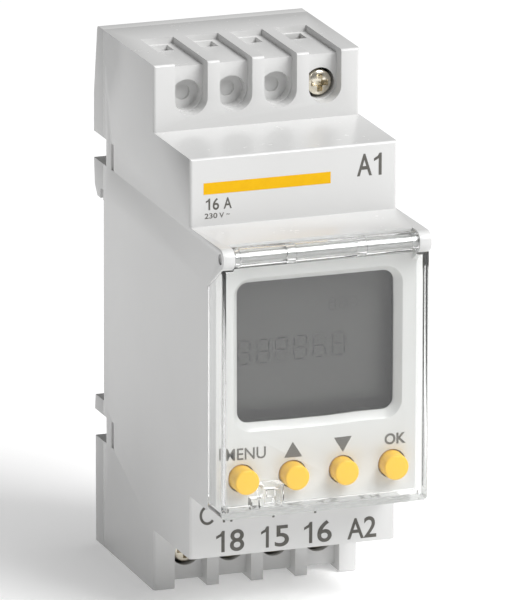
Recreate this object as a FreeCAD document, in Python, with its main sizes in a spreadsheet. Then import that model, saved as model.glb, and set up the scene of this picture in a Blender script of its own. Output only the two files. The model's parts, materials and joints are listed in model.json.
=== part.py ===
import FreeCAD, Part
import operator
import os
from types import SimpleNamespace

import Sketcher
from FreeCAD import Placement, Rotation, Vector

# Two-module electronic timer that clips on a 35 mm mounting rail. Millimetres throughout.
# X runs across the modules, +Y points back towards the rail and +Z is up.
# The origin is the middle of the rail seat, level with the rail's centre line.
# Depths are stated as distances in front of the seat, so they become -Y in the model.

DRIVING = {
    # Stepped housing: outline across X, Y and Z
    "width": 36.0, "top": 45.4, "bottom": 44.6, "step_half": 34.05,
    "nose_top": 22.55, "nose_bottom": 23.15, "end_wall": 2.7,
    "shoulder": 25.0, "label": 42.8, "cover_seat": 51.3, "panel": 54.3,
    "split": 0.25, "foot_lift": 0.5, "wall": 1.6, "panel_wall": 1.6,
    "nose_inset": 1.15, "nose_wall": 1.0, "nose_foot": 21.9, "edge_round": 0.5,
    "shoulder_wall": 4.1, "shoulder_wall_high": 6.0, "gap_step": 0.9, "gap_drop": 0.65,
    "ear_neck_out": 0.95, "ear_neck_drop": 1.47,
    # Rear base and rail hooks
    "back_high": 4.9, "back_low": 4.2, "crown_back": 3.2, "crown_bend": 33.4,
    "notch_high": 26.9, "notch_high_floor": 22.35, "hook_foot": 17.9, "hook_back": 3.15,
    "rail_gap": 1.63, "gap_roof": 17.8, "seat_top": 16.1, "seat_bottom": 18.6,
    "block_foot": 21.2, "notch_low": 25.7, "base_plate": 1.8, "base_play": 0.1,
    "catch_relief": 0.3, "hook_draft": 0.4, "crown_round": 0.8,
    "snap_front": 5.0, "snap_back": 3.8, "snap_play": 0.25, "snap_arm": 1.0, "snap_barb": 1.1,
    # Terminals
    "pitch": 7.8, "shift": 0.25, "recess_half": 2.85, "recess_depth": 2.5, "screw_high": 39.3,
    "screw_low": 38.85, "hole": 2.65, "blank_depth": 2.0, "dimple": 1.3, "dimple_depth": 0.6,
    "channel": 1.1, "channel_low": 0.75, "channel_back": 8.0, "entry_front": 12.2,
    "entry_back": 8.8, "entry_half": 1.5, "entry_half_low": 1.8, "entry_deep": 4.0, "terminal_wall": 3.5,
    # Display opening and buttons
    "display_half": 13.35, "display_low": 8.45, "display_top": 15.15, "display_round": 1.9,
    "bevel": 1.15, "bevel_depth": 1.34, "button_pitch": 8.65, "button_drop": 17.3,
    "button_shift": 0.15, "button": 2.12, "button_hole": 2.38, "button_reach": 2.65, "flange": 2.7,
    # Clear cover and its pin
    "cover_front": 58.1, "cover_wall": 1.0, "cover_play": 0.15, "cover_foot": 23.1,
    "pin_out": 57.25, "pin_up": 21.0, "pin": 0.9, "knuckle": 1.75, "ear": 2.0,
    "slant_low": 15.05, "slant_gap": 0.22, "running_gap": 0.07, "press_gap": 0.03,
    "cover_drop": 1.72, "cover_round": 0.35, "cover_corner": 0.9, "barrel_play": 0.12, "barrel_room": 1.25,
    "scoop": 21.5, "scoop_deep": 2.3,
    # Rail clip
    "clip_half": 6.0, "clip_front": 1.5, "clip_back": 3.9, "clip_flange_half": 8.0,
    "clip_flange": 1.05, "clip_travel": 3.0, "clip_lip": 2.3, "clip_play": 0.1,
    "clip_ramp": 0.6, "clip_foot": 43.8, "flange_foot": 38.3, "leg": 0.8, "leg_rest": 1.0,
    # Boards and what they carry
    "board": 1.6, "display_board_front": 46.6, "power_board_front": 4.6, "riser_x": 13.4,
    "board_half": 15.9, "board_foot": 20.6, "board_top": 19.6, "power_half": 14.6, "power_reach": 33.5,
    "switch_half": 2.6, "switch_high": 3.4, "stem": 1.4, "stem_clear": 4.3, "plunger": 1.5,
    "plunger_long": 1.6, "window_thick": 1.2, "glass_thick": 2.0, "cell": 10.0, "cell_thick": 2.6,
    # Clamping terminals
    "head": 2.15, "head_height": 2.4, "shank": 1.5, "cage_half": 2.9, "cage_wall": 1.2,
    "cage_nut": 2.0, "cage_front": 16.5, "cage_back": 7.4, "thread_play": 0.05, "bar_thick": 0.8,
    "shank_end": 13.3, "cross_half": 0.32, "cross_reach": 1.35, "cross_deep": 1.2, "mouth_wall": 0.8,
    "bar_play": 0.95, "bar_set_in": 2.5,
}

doc = FreeCAD.newDocument("rail_timer")
sheet = doc.addObject("Spreadsheet::Sheet", "Sizes")
for line, (alias, number) in enumerate(DRIVING.items(), start=1):
    sheet.set("A%d" % line, alias)
    sheet.set("B%d" % line, "%g" % number)
    sheet.setAlias("B%d" % line, alias)
doc.recompute()


class Size:
    """A length together with the spreadsheet formula that gives it."""

    def __init__(self, value, formula):
        self.value = value
        self.formula = formula

    def __neg__(self):
        return Size(-self.value, "(-%s)" % self.formula)

    def __add__(self, other):
        return joined(self, "+", other)

    def __radd__(self, other):
        return joined(other, "+", self)

    def __sub__(self, other):
        return joined(self, "-", other)

    def __rsub__(self, other):
        return joined(other, "-", self)

    def __mul__(self, other):
        return joined(self, "*", other)

    def __rmul__(self, other):
        return joined(other, "*", self)

    def __truediv__(self, other):
        return joined(self, "/", other)


OPERATIONS = {"+": operator.add, "-": operator.sub, "*": operator.mul, "/": operator.truediv}


def size(number):
    return number if isinstance(number, Size) else Size(float(number), "(%g)" % number)


def joined(left, sign, right):
    left, right = size(left), size(right)
    value = OPERATIONS[sign](left.value, right.value)
    return Size(value, "(%s %s %s)" % (left.formula, sign, right.formula))


S = SimpleNamespace(**{alias: Size(number, "Sizes." + alias) for alias, number in DRIVING.items()})
HALF = S.width / 2
PIECES = []


# ---------------------------------------------------------------- building blocks

def bind(item, name, amount):
    item.setExpression(name, size(amount).formula)


def put(item, corner):
    for letter, amount in zip("xyz", corner):
        bind(item, "Placement.Base." + letter, amount)
    return item


def box(name, x, y, z):
    """Block between three pairs of limits."""
    item = doc.addObject("Part::Box", name)
    for prop, (low, high) in zip(("Length", "Width", "Height"), (x, y, z)):
        bind(item, prop, high - low if isinstance(high, Size) else size(high) - low)
    return put(item, (x[0], y[0], z[0]))


TURNS = {"x": Rotation(Vector(0, 1, 0), 90), "y": Rotation(Vector(1, 0, 0), -90), "z": Rotation()}


def rod(name, axis, start, radius, length):
    """Cylinder that runs from its start along +X, +Y or +Z."""
    item = doc.addObject("Part::Cylinder", name)
    item.Placement = Placement(Vector(), TURNS[axis])
    bind(item, "Radius", radius)
    bind(item, "Height", length)
    return put(item, start)


def fuse(name, items):
    if len(items) == 1:
        return items[0]
    item = doc.addObject("Part::MultiFuse", name)
    item.Shapes = items
    return item


def cut(name, base, tools):
    item = doc.addObject("Part::Cut", name)
    item.Base = base
    item.Tool = fuse(name + "_tools", tools)
    return item


def group(name, items):
    """Separate solids that share one node."""
    item = doc.addObject("Part::Compound", name)
    item.Links = items
    return item


def piece(label, item):
    item.Label = label
    PIECES.append(item)
    return item


def both(amount):
    """Limits an equal way to each side of the middle."""
    return (-amount, amount) if isinstance(amount, Size) else (-size(amount), size(amount))


def about(middle, half):
    return (middle - half, middle + half)


def depth(front, back):
    """Y limits of something between two distances in front of the rail seat."""
    return (-size(front), -size(back))


def new_body(name):
    return doc.addObject("PartDesign::Body", name)


def new_sketch(body, name, role, offset=None):
    sketch = body.newObject("Sketcher::SketchObject", name)
    plane = next(item for item in body.Origin.OriginFeatures if item.Role == role)
    sketch.AttachmentSupport = [(plane, "")]
    sketch.MapMode = "FlatFace"
    if offset is not None:
        bind(sketch, "AttachmentOffset.Base.z", offset)
    return sketch


def tie(sketch, kind, line, end, amount):
    """Fix one coordinate of a line's end by its distance from the origin."""
    amount = size(amount)
    if abs(amount.value) < 1e-9:
        axis = -2 if kind == "DistanceX" else -1
        sketch.addConstraint(Sketcher.Constraint("PointOnObject", line, end, axis))
        return
    index = sketch.addConstraint(Sketcher.Constraint(kind, -1, 1, line, end, amount.value))
    sketch.setExpression("Constraints[%d]" % index, amount.formula)


def outline(body, name, role, points, offset=None):
    """Closed sketch of straight lines through the points."""
    sketch = new_sketch(body, name, role, offset)
    corners = [Vector(size(a).value, size(b).value, 0) for a, b in points]
    count = len(corners)
    for k in range(count):
        sketch.addGeometry(Part.LineSegment(corners[k], corners[(k + 1) % count]))
    for k in range(count):
        sketch.addConstraint(Sketcher.Constraint("Coincident", k, 2, (k + 1) % count, 1))
    for k, (across, up) in enumerate(points):
        tie(sketch, "DistanceX", k, 1, across)
        tie(sketch, "DistanceY", k, 1, up)
    return sketch


def rectangle(body, name, role, across, up, offset=None):
    (a0, a1), (b0, b1) = across, up
    return outline(body, name, role, [(a0, b0), (a1, b0), (a1, b1), (a0, b1)], offset)


def extrude(body, kind, sketch, length, symmetric=True, backwards=False):
    feature = body.newObject("PartDesign::" + kind, sketch.Name + "_" + kind.lower())
    feature.Profile = sketch
    bind(feature, "Length", length)
    feature.Midplane = symmetric
    feature.Reversed = backwards
    return feature


def spin(body, sketch):
    """Full turn of a sketch about its own vertical axis."""
    feature = body.newObject("PartDesign::Revolution", sketch.Name + "_revolution")
    feature.Profile = sketch
    feature.ReferenceAxis = (sketch, ["V_Axis"])
    feature.Angle = 360.0
    return feature


def rounded(body, feature, name, radius, wanted):
    """Fillet on the edges of a feature whose middle and direction are wanted."""
    doc.recompute()
    chosen = []
    for number, edge in enumerate(feature.Shape.Edges, start=1):
        middle = edge.valueAt((edge.FirstParameter + edge.LastParameter) / 2)
        if wanted(middle, edge.tangentAt(edge.FirstParameter)):
            chosen.append("Edge%d" % number)
    item = body.newObject("PartDesign::Fillet", name)
    item.Base = (feature, chosen)
    bind(item, "Radius", radius)
    return item


def terminal_x(number):
    """Middle of terminal 0 to 3, counted from the left."""
    return S.pitch * (number - 1.5) + S.shift


def button_x(number):
    return S.button_pitch * (number - 1.5) - S.button_shift


# ---------------------------------------------------------------- housing

def housing_body():
    """Stepped shell, open at the back, with a narrower nose that the clear cover closes on."""
    body = new_body("housing_shell")
    pin_y, pin_z = -S.pin_out, S.pin_up
    slant = (S.slant_low, -S.cover_seat)
    profile = outline(body, "housing_profile", "YZ_Plane", [
        (S.split, S.foot_lift - S.bottom), (-S.shoulder, -S.bottom),
        (-S.shoulder, -S.step_half), (-S.label, -S.step_half),
        (-S.label, -S.nose_bottom), (-S.cover_seat, -S.nose_bottom),
        (slant[1], slant[0]), (pin_y - S.ear_neck_out, pin_z - S.ear_neck_drop),
        (pin_y, pin_z), (pin_y, pin_z + S.knuckle),
        (-S.label, S.nose_top), (-S.label, S.step_half),
        (-S.shoulder, S.step_half), (-S.shoulder, S.top), (S.split, S.top)])
    block = extrude(body, "Pad", profile, S.width)

    def soft_edge(middle, direction):
        """Outer front edges of the two terminal steps, but not the lowest ones or the inside corner."""
        on_shoulder = abs(middle.y + S.shoulder.value) < 0.01
        on_label = abs(middle.y + S.label.value) < 0.01
        reach = S.top.value if on_shoulder else S.step_half.value
        across = abs(direction.x) > 0.9 and middle.z > reach - 0.1
        upright = abs(direction.z) > 0.9 and abs(middle.x) > HALF.value - 0.1
        return (on_shoulder or on_label) and (across or upright)

    rounded(body, block, "soft_edges", S.edge_round, soft_edge)
    nose = rectangle(body, "nose_outline", "XZ_Plane", both(HALF - S.nose_inset),
                     (-S.nose_foot, S.pin_up), S.cover_seat - 1)
    extrude(body, "Pad", nose, S.panel - S.cover_seat + 1, symmetric=False)
    step, far, beyond = -S.panel - S.gap_step, -S.panel - 6, S.nose_top + 2
    gap = outline(body, "hinge_gap", "YZ_Plane", [
        (-S.panel, S.slant_low), (far, S.slant_low), (far, beyond), (step, beyond),
        (step, S.nose_top - S.gap_drop), (-S.panel, S.nose_top - S.gap_drop)])
    extrude(body, "Pocket", gap, S.width - S.ear * 2 + S.base_play)
    low_floor, high_roof = S.end_wall - S.bottom, S.top - S.end_wall
    low_shelf, high_shelf = S.shoulder_wall - S.shoulder, S.shoulder_wall_high - S.shoulder
    label_back, seat_back, outside = S.wall - S.label, S.wall - S.cover_seat, S.split + 1
    cavity = outline(body, "cavity_profile", "YZ_Plane", [
        (outside, low_floor), (low_shelf, low_floor), (low_shelf, S.wall - S.step_half),
        (label_back, S.wall - S.step_half), (label_back, S.wall - S.nose_bottom),
        (seat_back, S.wall - S.nose_bottom), (seat_back, S.nose_top - S.wall),
        (label_back, S.nose_top - S.wall), (label_back, S.step_half - S.wall),
        (high_shelf, S.step_half - S.wall), (high_shelf, high_roof), (outside, high_roof)])
    extrude(body, "Pocket", cavity, S.width - S.wall * 2)
    front_room = rectangle(body, "front_room", "YZ_Plane", (S.panel_wall - S.panel, 1 - S.label),
                           (S.wall - S.nose_foot, S.nose_top - S.gap_step - S.wall))
    extrude(body, "Pocket", front_room, S.width - S.nose_inset * 2 - S.nose_wall * 2)
    return body


def ears():
    """Round lugs at the top corners that carry the cover's pin."""
    start = (-HALF, HALF - S.ear)
    return [rod("ear_%d" % side, "x", (x, -S.pin_out, S.pin_up), S.knuckle, S.ear)
            for side, x in enumerate(start)]


def rounded_block(name, across, up, front, length, radius):
    """Block with its four corners rounded, running back from a distance in front of the seat."""
    body = new_body(name)
    face = rectangle(body, name + "_outline", "XZ_Plane", across, up, front)
    block = extrude(body, "Pad", face, length, symmetric=False, backwards=True)
    rounded(body, block, name + "_corners", radius, lambda middle, direction: abs(direction.y) > 0.9)
    return body


def display_opening():
    """Opening with rounded corners and a bevel that narrows towards the display, as solids to take away."""
    half, low, high = S.display_half, S.display_low, S.display_top
    through = rounded_block("opening_through", both(half), (-low, high), S.panel - 0.5, 4, S.display_round)
    wide = rounded_block("opening_bevel", both(half + S.bevel), (-low - S.bevel, high + S.bevel),
                         S.panel + 1, S.bevel_depth + 1, S.display_round + S.bevel)
    doc.recompute()
    block = wide.Tip
    back = S.bevel_depth.value - S.panel.value
    inner = ["Edge%d" % number for number, edge in enumerate(block.Shape.Edges, start=1)
             if all(abs(corner.Point.y - back) < 1e-6 for corner in edge.Vertexes)]
    bevel = wide.newObject("PartDesign::Chamfer", "opening_slope")
    bevel.Base = (block, inner)
    bevel.ChamferType = "Two distances"
    bevel.FlipDirection = True
    bind(bevel, "Size", S.bevel)
    bind(bevel, "Size2", S.bevel_depth)
    return [through, wide]


def recess(name, x, level, outward, depth_of_channel, end):
    """U-shaped recess around a terminal screw, and its channel along the end of the housing."""
    floor = -S.shoulder + S.recess_depth
    side = (level, end + 1) if outward > 0 else (end - 1, level)
    channel = (end - depth_of_channel, end + 1) if outward > 0 else (end - 1, end + depth_of_channel)
    return [
        box(name + "_slot", about(x, S.recess_half), (-S.shoulder - 1, floor), side),
        rod(name + "_round", "y", (x, -S.shoulder - 1, level), S.recess_half, S.recess_depth + 1),
        box(name + "_channel", about(x, S.recess_half), depth(S.shoulder + 1, S.channel_back), channel)]


def terminal_tools():
    """Recesses, screw holes and wire entries. Only the last of the upper row has a screw."""
    tools = []
    floor = S.recess_depth - S.shoulder
    through, entry_y = S.terminal_wall + 1, depth(S.entry_front, S.entry_back)
    for number in range(4):
        x = terminal_x(number)
        wired = number == 3
        name = "upper_%d" % number
        screw = (x, floor, S.screw_high)
        tools += recess(name, x, S.screw_high, 1, S.channel, S.top)
        tools.append(rod(name + "_hole", "y", screw, S.hole, through if wired else S.blank_depth))
        if not wired:
            tools.append(rod(name + "_dimple", "y", screw, S.dimple, S.blank_depth + S.dimple_depth))
        entry_foot = S.top - S.entry_deep if wired else S.top - S.channel - 1
        tools.append(box(name + "_entry", about(x, S.entry_half), entry_y, (entry_foot, S.top)))
        name = "lower_%d" % number
        tools += recess(name, x, -S.screw_low, -1, S.channel_low, -S.bottom)
        tools.append(rod(name + "_hole", "y", (x, floor, -S.screw_low), S.hole, through))
        tools.append(box(name + "_entry", about(x, S.entry_half_low), entry_y,
                         (-S.bottom, S.entry_deep - S.bottom)))
    return tools


def snap_zones():
    """Heights of the four snap windows' two rows."""
    return [(S.notch_high_floor, S.notch_high), (-S.notch_low, -S.block_foot)]


def front_housing():
    tools = display_opening() + terminal_tools()
    for number in range(4):
        spot = (button_x(number), -S.panel - 1, -S.button_drop)
        tools.append(rod("button_hole_%d" % number, "y", spot, S.button_hole, 4))
    tools.append(rod("pin_hole", "x", (-HALF - 1, -S.pin_out, S.pin_up), S.pin + S.press_gap, S.width + 2))
    for row, zone in enumerate(snap_zones()):
        for side, limits in enumerate([(-HALF - 1, -HALF + S.wall), (HALF - S.wall, HALF + 1)]):
            name = "snap_%d_%d" % (row, side)
            tools.append(box(name + "_notch", limits, depth(S.base_plate - S.snap_play * 2, -1), zone))
            tools.append(box(name + "_window", limits, depth(S.snap_front, S.snap_back), zone))
    tools.append(box("seat_relief", both(HALF + 1), depth(0, -1), (-S.seat_bottom, S.seat_top)))
    shell = fuse("housing_with_ears", [housing_body()] + ears())
    piece("front_housing", cut("front_housing", shell, tools))


# ---------------------------------------------------------------- rear base and rail clip

def base_body():
    """Plate that closes the back, with the blocks that reach behind the rail."""
    body = new_body("base_body")
    inner = HALF - S.wall - S.base_play
    plate = rectangle(body, "plate_outline", "YZ_Plane", (-S.base_plate, S.split),
                      (S.end_wall + S.base_play - S.bottom, S.top - S.end_wall - S.base_play))
    extrude(body, "Pad", plate, inner * 2)
    seat = rectangle(body, "seat_outline", "YZ_Plane", (0, 1), (-S.seat_bottom, S.seat_top))
    extrude(body, "Pocket", seat, S.width)
    relief = rectangle(body, "catch_relief", "YZ_Plane", (-S.catch_relief, 1), (-S.seat_bottom, -S.seat_top))
    extrude(body, "Pocket", relief, S.width)
    blocks = {
        "crown": [(S.split, S.notch_high), (S.back_high, S.notch_high), (S.back_high, S.crown_bend),
                  (S.crown_back, S.top), (S.split, S.top)],
        "hook": [(S.split, S.gap_roof), (S.rail_gap, S.gap_roof), (S.rail_gap, S.seat_top),
                 (S.hook_back, S.seat_top), (S.back_high - S.hook_draft, S.hook_foot),
                 (S.back_high, S.notch_high_floor), (S.split, S.notch_high_floor)],
        "rib": [(S.split, -S.block_foot), (S.back_high - S.hook_draft, -S.block_foot),
                (S.back_low, -S.seat_bottom), (S.split, -S.seat_bottom)],
        "foot": [(S.split, S.foot_lift - S.bottom), (S.back_low - S.hook_draft / 2, S.foot_lift - S.bottom),
                 (S.back_low, -S.notch_low), (S.split, -S.notch_low)]}
    for name, points in blocks.items():
        extrude(body, "Pad", outline(body, name + "_profile", "YZ_Plane", points), S.width)
    tip = body.Tip

    def crown_edge(middle, direction):
        return abs(direction.x) > 0.9 and middle.y > S.split.value + 1 and middle.z > S.top.value - 0.1

    rounded(body, tip, "crown_round", S.crown_round, crown_edge)
    return body


def rear_base():
    slide_y = (S.clip_front - S.clip_play, S.clip_front + S.clip_flange + S.clip_play)
    stop = -S.flange_foot - S.clip_travel
    tools = [
        box("clip_way", both(S.clip_half + S.clip_play), (slide_y[0], S.back_high + 1),
            (-S.bottom - 1, -S.seat_bottom + 0.5)),
        box("clip_track", both(S.clip_flange_half + S.clip_play), slide_y,
            (stop - S.clip_play, -S.seat_bottom - 4))]
    snaps = []
    outer = HALF - S.wall - S.base_play * 2
    inner, tip = outer - S.snap_arm, outer + S.snap_barb
    for row, (low, high) in enumerate(snap_zones()):
        zone = (low + S.snap_play, high - S.snap_play)
        for side in (-1, 1):
            name = "snap_arm_%d_%d" % (row, side + 1)
            arm = (inner, outer) if side > 0 else (-outer, -inner)
            barb = (outer, tip) if side > 0 else (-tip, -outer)
            snaps.append(box(name, arm, depth(S.snap_front + S.snap_play, 1), zone))
            snaps.append(box(name + "_barb", barb,
                             depth(S.snap_front - S.base_play, S.snap_back + S.base_play), zone))
    piece("rear_base", cut("rear_base", fuse("base_with_snaps", [base_body()] + snaps), tools))


def din_clip():
    """Slide that locks behind the rail's lower edge, with two moulded spring legs."""
    body = new_body("din_clip")
    lip_top, leg_top, behind = S.clip_lip - S.seat_bottom, -S.block_foot - 0.3, -S.clip_front - S.clip_flange
    profile = outline(body, "clip_profile", "YZ_Plane", [
        (S.clip_front, -S.clip_foot), (S.clip_back, -S.clip_foot), (S.clip_back, -S.seat_bottom),
        (S.clip_front + S.clip_ramp, lip_top), (S.clip_front, lip_top)])
    extrude(body, "Pad", profile, S.clip_half * 2)
    flange = rectangle(body, "flange_profile", "YZ_Plane", (S.clip_front, S.clip_front + S.clip_flange),
                       (-S.flange_foot, -S.notch_low - 0.5))
    extrude(body, "Pad", flange, S.clip_flange_half * 2)
    far = S.clip_flange_half - S.leg / 2
    near = far - S.leg
    rest_near = near - S.leg_rest + 0.1
    shapes = {"leg": (near, far, -S.notch_low - S.leg), "leg_rest": (rest_near, near + 0.1, leg_top - S.leg)}
    for name, (inner, outer, foot) in shapes.items():
        for side, across in enumerate([(-outer, -inner), (inner, outer)]):
            leg = rectangle(body, "%s_%d" % (name, side), "XZ_Plane", across, (foot, leg_top), behind)
            extrude(body, "Pad", leg, S.clip_flange, symmetric=False)
    for name, half, foot, head in (("driver_slot", 3.0, 42.5, 40.5), ("clip_window", 3.2, 38.0, 28.0)):
        hole = rectangle(body, name, "XZ_Plane", both(half), (-foot, -head), -S.clip_back - 1)
        extrude(body, "Pocket", hole, S.clip_back + 1, symmetric=False, backwards=True)
    piece("din_clip", body)


# ---------------------------------------------------------------- clear cover and its pin

def cover_tray():
    """Thin tray with slanted side tops, open to the back."""
    body = new_body("cover_tray")
    back = -S.cover_seat - S.cover_play
    profile = outline(body, "cover_profile", "YZ_Plane", [
        (-S.cover_front, -S.cover_foot), (back, -S.cover_foot), (back, S.slant_low - S.slant_gap),
        (-S.cover_front, S.pin_up - S.cover_drop)])
    tray = extrude(body, "Pad", profile, S.width)

    def foot_corner(middle, direction):
        return abs(direction.y) > 0.9 and middle.z < 0.01 - S.cover_foot.value

    corners = rounded(body, tray, "cover_corners", S.cover_corner, foot_corner)

    def front_edge(middle, direction):
        return middle.y < 0.01 - S.cover_front.value and middle.z < S.slant_low.value

    rounded(body, corners, "cover_edges", S.cover_round, front_edge)
    room = rectangle(body, "cover_room", "YZ_Plane", (S.cover_wall - S.cover_front, back + 1),
                     (S.cover_wall - S.cover_foot, S.pin_up + 3))
    extrude(body, "Pocket", room, S.width - S.cover_wall * 2)
    return body


def latch_parts():
    """Hollow finger latch, the lug beside it and the rib along the foot of the cover."""
    foot, root = -S.cover_foot, S.cover_front - S.cover_wall / 2
    inside = S.cover_front - S.cover_wall
    outer = box("latch_block", (-10.6, -6.9), depth(root, S.panel + 0.25), (foot + 0.5, foot + 5.1))
    hollow = box("latch_hollow", (-9.8, -7.7), depth(inside, S.panel - 1), (foot + 1.6, foot + 4.3))
    lug = box("latch_lug", (-12.4, -8.6), depth(root, S.panel + 1), (foot + 0.5, foot + 2.9))
    rib = box("cover_rib", both(HALF - S.cover_wall * 1.5), depth(root, root - 1.5), (foot + 0.5, foot + 1.7))
    return [cut("latch", outer, [hollow]), lug, rib]


def clear_cover():
    """Cover with a hinge barrel hollowed into three rooms and a finger scoop at its foot."""
    span = HALF - S.ear - S.barrel_play
    web = box("cover_web", both(span), depth(S.cover_front, S.cover_front - S.cover_wall),
              (S.pin_up - 3.2, S.pin_up - 1))
    axis = (-S.pin_out, S.pin_up)
    barrel = rod("cover_barrel", "x", (-span, *axis), S.knuckle, span * 2)
    tools = [rod("barrel_bore", "x", (-HALF, *axis), S.pin + S.running_gap, S.width)]
    rooms = [(-span + 1, -6.8), (-5.2, 5.4), (7.0, span - 1)]
    for number, (low, high) in enumerate(rooms):
        tools.append(rod("barrel_room_%d" % number, "x", (low, *axis), S.barrel_room, size(high) - low))
    scoop_level = S.scoop_deep - S.cover_foot - S.scoop
    tools.append(rod("finger_scoop", "y", (4, -S.cover_front - 1, scoop_level), S.scoop, 1.35))
    solid = fuse("cover_solid", [cover_tray(), web, barrel] + latch_parts())
    piece("clear_cover", cut("clear_cover", solid, tools))


def hinge_pin():
    inset = 0.2
    piece("hinge_pin", rod("hinge_pin", "x", (inset - HALF, -S.pin_out, S.pin_up), S.pin, S.width - inset * 2))


# ---------------------------------------------------------------- display stack

def display_parts():
    """Window, liquid-crystal glass, the frame that holds it and its contact strip."""
    half, gap = S.display_half, 0.1

    def heights(margin):
        return (-S.display_low - margin, S.display_top + margin)

    window_front = S.panel - S.panel_wall
    glass_front = window_front - S.window_thick - gap
    glass_back, board = glass_front - S.glass_thick, S.display_board_front
    piece("lcd_window", box("lcd_window", both(half + 0.8), depth(window_front, window_front - S.window_thick),
                            heights(0.8)))
    piece("lcd_glass", box("lcd_glass", both(half + 0.3), depth(glass_front, glass_back), heights(0.3)))
    frame_block = box("frame_block", both(half + 1.3), depth(glass_front, board), heights(1.3))
    seat = box("frame_seat", both(half + 0.4), depth(glass_front + 1, glass_back), heights(0.4))
    hole = box("frame_hole", both(half - 1), depth(glass_back + 1, board - 1), heights(-1))
    piece("lcd_frame", cut("lcd_frame", frame_block, [seat, hole]))
    strip_foot = 1.1 - S.display_low
    piece("contact_strip", box("contact_strip", both(half - 1.2), depth(glass_back, board),
                               (strip_foot, strip_foot + 1.8)))


def display_board():
    """Board behind the display, with its controller, clock crystal and backup cell."""
    front, back = S.display_board_front, S.display_board_front - S.board
    blank = box("display_board_blank", both(S.board_half), depth(front, back), (-S.board_foot, S.board_top))
    holes = [rod("board_hole_%d_%d" % (x > 0, z > 0), "y", (x, -front - 1, z), 1.1, 4)
             for x in (-13.4, 13.4) for z in (-19.0, 18.0)]
    piece("display_board", cut("display_board", blank, holes))
    piece("microcontroller", box("microcontroller", (-10, -3), depth(back, back - 1.4), (-12, -5)))
    piece("clock_crystal", rod("clock_crystal", "x", (-10, 1.6 - back, -15.5), 1.5, 6))
    middle, front_face = (2.5, 8.5), back - 0.8
    spot = (middle[0], -front_face, middle[1])
    block = box("holder_block", about(size(middle[0] - 0.3), 11), depth(back, back - 3.4), (-2.5, 19))
    seat = rod("holder_seat", "y", spot, S.cell + 0.1, 4)
    gap = box("holder_gap", (-3, 8), depth(front_face, back - 5), (14, 22))
    piece("battery_holder", cut("holder", block, [seat, gap]))
    piece("backup_battery", rod("backup_battery", "y", spot, S.cell, S.cell_thick))


def button_set(number, name):
    """Cap, switch plunger and switch body behind one button hole."""
    x, z = button_x(number), -S.button_drop
    tip, stem_end = S.panel + S.button_reach, S.display_board_front + S.stem_clear
    flange_front = S.panel - S.panel_wall - 0.1
    flange_back, rim = flange_front - 0.8, 0.35
    body = new_body("cap_" + name)
    section = outline(body, "cap_section_" + name, "XY_Plane", [
        (0, -tip), (S.button - rim, -tip), (S.button, rim - tip), (S.button, -flange_front),
        (S.flange, -flange_front), (S.flange, -flange_back), (S.stem, -flange_back),
        (S.stem, -stem_end), (0, -stem_end)])
    spin(body, section)
    body.Placement = Placement()
    bind(body, "Placement.Base.x", x)
    bind(body, "Placement.Base.z", z)
    piece("button_" + name, body)
    piece("switch_plunger_" + name, rod("switch_plunger_" + name, "y", (x, -stem_end, z),
                                        S.plunger, S.plunger_long))
    board = S.display_board_front
    case = box("switch_case_" + name, about(x, S.switch_half), depth(board + S.switch_high, board),
               about(z, S.switch_half))
    well = rod("switch_well_" + name, "y", (x, -board - S.switch_high - 1, z), S.plunger + 0.1, 3.6)
    piece("tact_switch_" + name, cut("tact_switch_" + name, case, [well]))


# ---------------------------------------------------------------- power side

def power_board():
    front = S.power_board_front
    blank = box("power_board_blank", both(S.power_half), depth(front, front - S.board), both(S.power_reach))
    holes = [rod("power_hole_%d" % (z > 0), "y", (-12, -front - 1, z), 1.6, 4) for z in (-21, 21)]
    piece("power_board", cut("power_board", blank, holes))


def power_parts():
    """Relay, capacitors and varistor on the power board, and the riser that joins the two boards."""
    front = S.power_board_front

    def standing(height):
        return depth(front + height, front)

    piece("relay", box("relay", (-13.9, -1.2), standing(15.7), (-17, 12)))
    piece("film_capacitor", box("film_capacitor", (0.4, 8.9), standing(14.5), (-17, 1)))
    piece("smoothing_capacitors", group("smoothing_capacitors", [
        rod("capacitor_%d" % k, "y", (4.4, -front - 13, z), 4, 13) for k, z in enumerate((6.3, 15.0))]))
    level = 19
    piece("varistor", rod("varistor", "y", (-7.5, -front - 9, level), 4.5, 4.2))
    piece("varistor_legs", group("varistor_legs", [
        rod("varistor_leg_%d" % k, "y", (x, -front - 4.8, level), 0.4, 4.8) for k, x in enumerate((-10, -5))]))
    near = S.riser_x
    display_back = S.display_board_front - S.board
    piece("riser_board", box("riser_board", (near, near + 1.2), depth(display_back, front), (-16, -4)))
    ends = {"front": depth(display_back, display_back - 5), "back": standing(5)}
    piece("riser_sockets", group("riser_sockets", [
        box("riser_socket_" + name, (near - 2.2, near), limits, (-15, -5)) for name, limits in ends.items()]))


# ---------------------------------------------------------------- clamping terminals

def terminal_screw(name, x, z):
    """Captive screw with a cross recess, its head level with the recess floor."""
    head_front = S.shoulder - S.recess_depth
    head_back, rim = head_front - S.head_height, 0.4
    body = new_body("screw_body_" + name)
    section = outline(body, "screw_section_" + name, "XY_Plane", [
        (0, -head_front), (S.head - rim, -head_front), (S.head, rim - head_front), (S.head, -head_back),
        (S.shank, -head_back), (S.shank, -S.shank_end), (0, -S.shank_end)])
    spin(body, section)
    arms = ((S.cross_half, S.cross_reach), (S.cross_reach, S.cross_half))
    for number, (across, up) in enumerate(arms):
        arm = rectangle(body, "cross_%s_%d" % (name, number), "XZ_Plane", both(across), both(up), head_front + 1)
        extrude(body, "Pocket", arm, S.cross_deep + 1, symmetric=False)
    body.Placement = Placement()
    bind(body, "Placement.Base.x", x)
    bind(body, "Placement.Base.z", z)
    piece("terminal_screw_" + name, body)


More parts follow.
